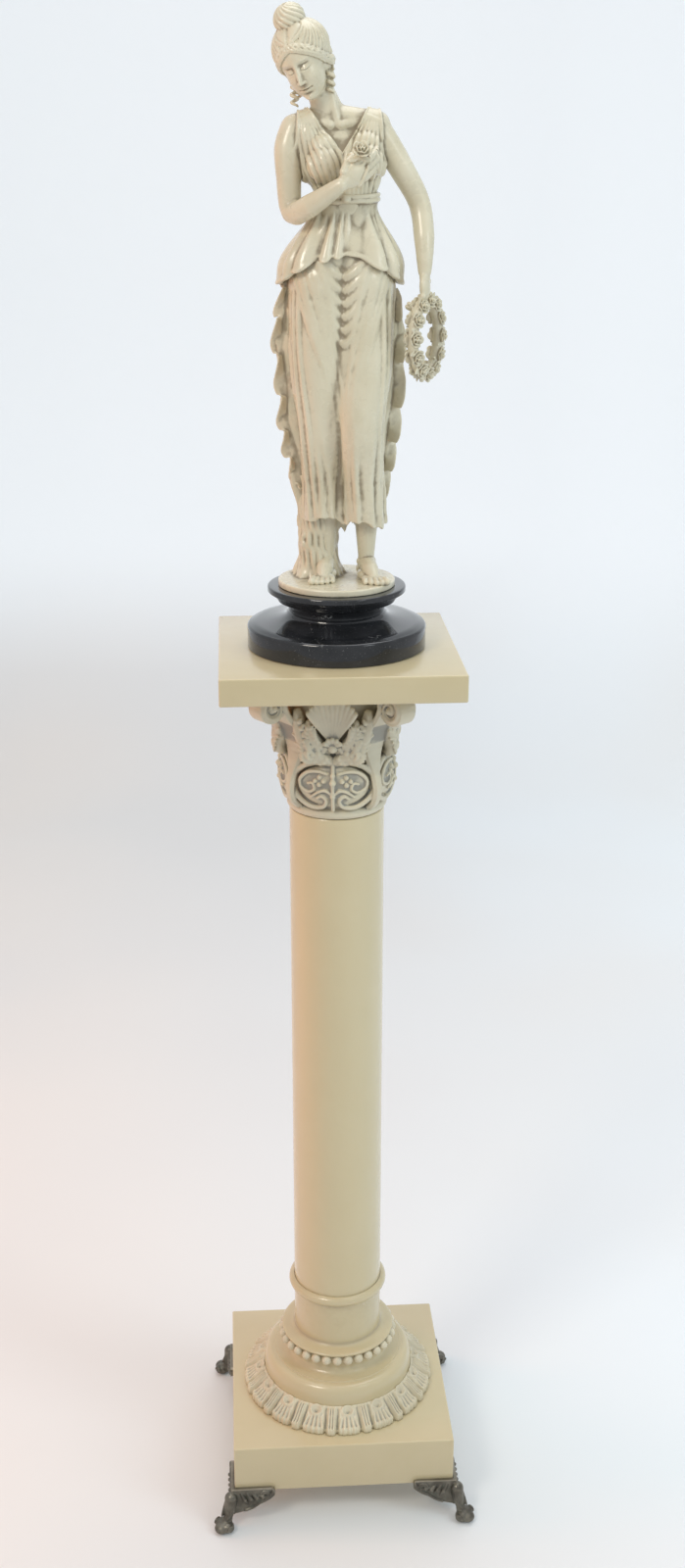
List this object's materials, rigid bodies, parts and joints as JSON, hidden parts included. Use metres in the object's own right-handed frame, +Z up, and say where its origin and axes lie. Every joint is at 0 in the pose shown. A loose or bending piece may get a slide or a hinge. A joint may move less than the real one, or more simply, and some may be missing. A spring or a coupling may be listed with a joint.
{
  "type": "resin female figure on column",
  "caption": "Cast resin maiden in a draped dress holding a wreath, on a black turned socle and a square-topped column pedestal with a carved capital and bronze feet",
  "frame": {"origin": "on the floor under the column's axis, level with the soles of the four feet", "axes": "+Z up along the column, the figure's front faces -Y, +X to the right of someone facing it"},
  "size_m": [0.3084, 0.3084, 1.6679],
  "materials": {
    "statue_resin": "semi-gloss cream cast resin with a grey-brown wash in the folds",
    "column_resin": "polished cream-beige cast resin",
    "capital_resin": "cream carved resin with a dark wash in the recesses",
    "black_stone": "polished black stone with sparse white veins",
    "bronze": "dark brown-green patinated cast bronze"
  },
  "bodies": {
    "root": {"figure": "statue_resin", "black_socle": "black_stone", "top_slab": "column_resin", "capital": "capital_resin", "shaft": "column_resin", "column_base": "column_resin", "leaf_ring": "capital_resin", "plinth": "column_resin", "foot_front_left": "bronze", "foot_front_right": "bronze", "foot_back_left": "bronze", "foot_back_right": "bronze"}
  },
  "joints": []
}
